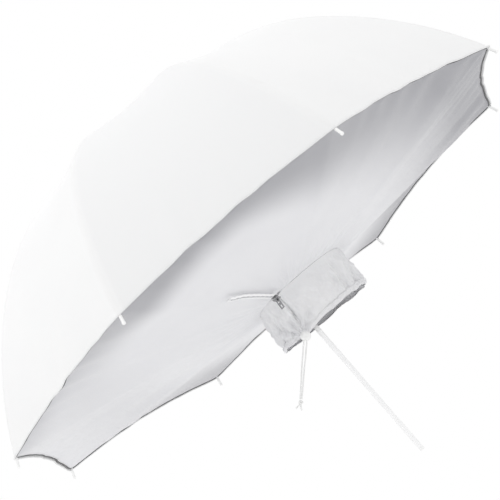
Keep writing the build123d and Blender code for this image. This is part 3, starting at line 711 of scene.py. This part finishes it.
def sleeve_surface(angles, rows):
    t, a = np.meshgrid(rows, angles, indexing="ij")
    p = sleeve_outline(a, t)
    around = np.gradient(p, axis=1)
    down = np.gradient(p, axis=0)
    n = np.cross(around, down)
    n /= np.maximum(np.linalg.norm(n, axis=-1, keepdims=True), 1e-12)
    centre = np.array([SLEEVE_MID, 0, 0])
    outward = np.sign(((p - centre)[..., :2] * n[..., :2]).sum(-1, keepdims=True))
    n *= np.where(outward == 0, 1, outward)
    height = np.zeros(a.shape)
    for i in range(a.shape[0]):
        for j in range(a.shape[1]):
            height[i, j] = crumple(a[i, j], t[i, j])
    ends = smooth(0.0, 0.18, t) * (1 - 0.55 * smooth(0.80, 1.0, t))
    lift = 0.0046 * ends * (height - 0.75)
    # gathers that fan up from the cord lock
    near = p[..., 1] < 0
    dx, dz = p[..., 0] - LOCK_AT[0], p[..., 2] - SLEEVE_MOUTH
    fan = np.arctan2(dx, np.maximum(dz, 0.001))
    reach = np.exp(-((np.hypot(dx, dz) - 0.022) / 0.030) ** 2)
    lift = lift + np.where(near, 0.0019 * reach * np.sin(11 * fan + 0.7), 0)
    # the slit that runs from the zip to the lock
    slit_x = -0.012 - 0.010 * t + 0.006 * np.sin(math.pi * t)
    groove = np.exp(-((p[..., 0] - slit_x) / 0.0016) ** 2) * (1 - smooth(0.55, 0.75, t))
    lips = np.exp(-((np.abs(p[..., 0] - slit_x) - 0.0045) / 0.0025) ** 2) * (1 - smooth(0.55, 0.8, t))
    lift = lift + np.where(near, 0.0014 * lips - 0.0036 * groove, 0)
    # the drawstring's casing at the mouth
    casing = smooth(0.86, 0.90, t) * (1 - smooth(0.975, 1.0, t))
    lift = lift + 0.0016 * casing - 0.0012 * np.exp(-((t - 0.87) / 0.012) ** 2)
    pinch = np.exp(-((p[..., 0] - LOCK_AT[0]) / 0.009) ** 2) * smooth(0.6, 1.0, t)
    lift = lift + np.where(near, 0.0030 * pinch, 0)
    p = p + n * lift[..., None]
    raised = smooth(-0.1, 0.5, -np.sin(a)) * (1 - np.exp(-((p[..., 0] - LOCK_AT[0]) / 0.020) ** 2))
    p[..., 2] += 0.0030 * smooth(0.4, 1.0, t) * raised
    near_mouth = smooth(0.8, 1.0, t)
    p[..., 2] += 0.0007 * near_mouth * np.sin(5 * a + 1.1) + 0.0006 * near_mouth * np.sin(11 * a)
    return p, t, a


def make_sleeve(materials):
    angles = np.linspace(0, 2 * math.pi, 520, endpoint=False)
    rows = np.linspace(0, 1, 64)
    upright, t, a = sleeve_surface(angles, rows)
    uv = np.stack([a * 0.07, t * 0.08], -1)
    mesh = grid_mesh("sleeve_cloth", lean(upright), uv=uv, closed=True)
    obj = piece("sleeve_cloth", mesh, materials["sleeve_fabric"], "shaft_group")
    thick = obj.modifiers.new("cloth", "SOLIDIFY")
    thick.thickness = CLOTH_THICKNESS
    thick.offset = -1
    apply_modifiers(obj)
    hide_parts("sleeve")
    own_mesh(obj)


def apply_modifiers(obj):
    deps = bpy.context.evaluated_depsgraph_get()
    deps.update()
    mesh = bpy.data.meshes.new_from_object(obj.evaluated_get(deps))
    obj.modifiers.clear()
    obj.data = mesh


# ---------------------------------------------------------------- zip
# the cover's slope towards the hem, and how far out it starts
COVER_SLOPE = 0.1442
SLOPE_FROM = 0.0924
TEETH_FROM = 0.010
TEETH_PITCH = 0.0015
TOOTH_R = 0.0009
LIP_R = 0.0020
LIP_FLATTEN = np.array([1, 1, 0.55])


def zip_bow(along):
    return 0.0020 * np.sin(math.pi * along / ZIP_LENGTH) - 0.0035 * smooth(0.09, ZIP_LENGTH, along)


def zip_line(start, end, count, side, rise):
    """Upright points beside the zip's line, rise below the cover's cloth."""
    d = np.array([math.cos(ZIP_AZIMUTH), math.sin(ZIP_AZIMUTH)])
    across = np.array([-d[1], d[0]])
    points = []
    for along in np.linspace(start, end, count):
        x, y = np.array(ZIP_FROM) + d * along + across * (side + zip_bow(along))
        face = -COVER_BULGE + COVER_SLOPE * max(0.0, -y - SLOPE_FROM)
        points.append((x, y, face - rise))
    return np.array(points)


def squash_along_zip(obj):
    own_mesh(obj)


def make_zip(materials):
    lips = bmesh.new()
    for side in (-1, 1):
        line = zip_line(0.002, ZIP_LENGTH, 60, side * 0.0019, 0.0030)
        rings = tube_along(line, LIP_R, 14)
        rings = line[:, None] + (rings - line[:, None]) * LIP_FLATTEN
        # a small ripple along the tape
        rings[..., 2] += 0.0003 * np.sin(np.linspace(0, 60, 60))[:, None]
        add_grid(lips, lean(rings))
    mesh = bpy.data.meshes.new("zip_lips")
    lips.to_mesh(mesh)
    lips.free()
    mesh.shade_smooth()
    obj = piece("zip_lips", mesh, materials["zip_tape"], "shaft_group")
    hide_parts("zipper_tape")
    squash_along_zip(obj)
    teeth = bmesh.new()
    for index in range(int((ZIP_LENGTH - 0.012) / TEETH_PITCH)):
        side = 0.0004 * (-1 if index % 2 else 1)
        start = TEETH_FROM + TEETH_PITCH * index
        line = zip_line(start, start + 0.001, 2, side, 0.0040)
        made = bmesh.ops.create_icosphere(teeth, subdivisions=1, radius=TOOTH_R)
        place = Matrix.Translation(lean(line[0]))
        bmesh.ops.transform(teeth, matrix=place, verts=made["verts"])
    mesh = bpy.data.meshes.new("zip_coil")
    teeth.to_mesh(mesh)
    teeth.free()
    mesh.shade_smooth()
    obj = piece("zip_coil", mesh, materials["zip_teeth"], "shaft_group")
    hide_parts("zipper_teeth")
    squash_along_zip(obj)


def add_grid(bm, rings):
    """A closed tube from rings of points, with capped ends."""
    made = [[bm.verts.new(p) for p in ring] for ring in rings]
    for one, two in zip(made, made[1:]):
        for j in range(len(one)):
            k = (j + 1) % len(one)
            bm.faces.new((one[j], one[k], two[k], two[j]))
    bm.faces.new(made[0][::-1])
    bm.faces.new(made[-1])


# ---------------------------------------------------------------- drawstring
# each strand's route down from the cord lock, in millimetres
STRANDS = {
    "left": [(-1.9, 0, -3.7), (-1.8, -0.4, -21), (-2.3, 0.4, -43), (-1.2, 0.2, -63), (-1.1, 0, -82)],
    "right": [(1.9, 0, -3.7), (2.1, 0.4, -23), (1.3, -0.4, -44), (1.5, -0.2, -62), (1.1, 0, -82)],
}
KNOT_AT = -0.0862


def curve_piece(name, points, radius, material, cyclic=False):
    data = bpy.data.curves.new(name, "CURVE")
    data.dimensions = "3D"
    data.bevel_depth = radius
    data.bevel_resolution = 4
    data.resolution_u = 16
    data.use_fill_caps = True
    spline = data.splines.new("NURBS")
    spline.points.add(len(points) - 1)
    for control, point in zip(spline.points, points):
        control.co = (*point, 1)
    spline.order_u = 3
    spline.use_endpoint_u = not cyclic
    spline.use_cyclic_u = cyclic
    obj = bpy.data.objects.new(name, data)
    bpy.context.scene.collection.objects.link(obj)
    data.materials.append(material)
    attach(obj, "shaft_group")
    return obj


def make_drawstring(materials):
    lock = Vector(lean(np.array(LOCK_AT)))
    knot = make_knot(materials, lock + Vector((0, 0, KNOT_AT)))
    for side, points in STRANDS.items():
        route = [lock + Vector(p) * 0.001 for p in points]
        strand = curve_piece(f"strand_{side}", route, CORD_DIAMETER / 2, materials["cord"])
        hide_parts(f"drawstring_{side}")


def make_knot(materials, centre):
    """An overhand knot in both strands, with two short tails."""
    points = []
    for index in range(12):
        angle = 2 * math.pi * index / 12
        wide = 0.0017 * (2 + math.cos(1.5 * 2 * angle))
        points.append(centre + Vector((wide * math.cos(2 * angle) * 0.55, 0.0016 * math.sin(3 * angle),
                                       wide * math.sin(2 * angle) * 0.62)))
    knot = curve_piece("knot", points, CORD_DIAMETER / 2, materials["cord"], cyclic=True)
    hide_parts("drawstring_knot")
    tails = {
        "left": [(0.3, 0, -1), (-1.6, -0.6, -3.6), (-3.4, -0.8, -6.2), (-5.6, -0.4, -8.4)],
        "right": [(0.2, 0, -1), (0.6, -0.8, -4.2), (0.9, -1.2, -7.4), (2.4, -0.8, -10.4)],
    }
    for side, tail in tails.items():
        route = [centre + Vector(p) * 0.001 for p in tail]
        end = curve_piece(f"tail_{side}", route, CORD_DIAMETER / 2, materials["cord"])
        end.parent = knot
        end.matrix_parent_inverse = Matrix.Identity(4)
    return knot


# ---------------------------------------------------------------- CAD parts and the stage
CAD_FINISH = {
    "shaft_metal": ["shaft"],
    "white_plastic": ["crown_cap", "crown_hub", "shaft_end_plug", *[f"rib_tip_{n}" for n in range(1, 9)]],
    "black_plastic": ["runner"],
    "wire": ["crown_hinge_wire", "crown_rivet", "runner_hinge_wire", "open_catch", "catch_spring",
             "cord_lock_spring"],
    "rib_metal": [*[f"rib_{n}" for n in range(1, 9)], *[f"stretcher_{n}" for n in range(1, 9)]],
    "zip_metal": ["zipper_slider", "zipper_pull"],
    "lock_plastic": ["cord_lock", "cord_lock_button"],
}


def finish_cad(materials):
    for slot, nodes in CAD_FINISH.items():
        for node in nodes:
            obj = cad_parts[node]
            if not obj.data.materials:
                obj.data.materials.append(materials[slot])
            for material_slot in obj.material_slots:
                material_slot.link = "OBJECT"
                material_slot.material = materials[slot]


def make_floor(materials):
    height = CAD_BOX[0].z - 0.55
    size = 12.0
    mesh = bpy.data.meshes.new("floor")
    corners = [(-size, -size, height), (size, -size, height), (size, size, height), (-size, size, height)]
    mesh.from_pydata(corners, [], [(0, 1, 2, 3)])
    floor = bpy.data.objects.new("floor", mesh)
    bpy.context.scene.collection.objects.link(floor)
    mesh.materials.append(materials["floor"])


bpy.context.scene.view_settings.view_transform = "Standard"
MATERIALS = make_materials()
make_camera()
make_world()
make_light("key", (-2.0, 0.2, 2.2), RIM_CENTRE, 1.2, 12)
make_light("low_front", (-1.6, -1.5, -0.9), lean(np.array([0.02, -0.05, -0.07])), 0.7, 20)
make_floor(MATERIALS)
finish_cad(MATERIALS)
make_drawstring(MATERIALS)
make_canopy(MATERIALS)
make_cover(MATERIALS)
make_binding(MATERIALS)
make_sleeve(MATERIALS)
make_zip(MATERIALS)
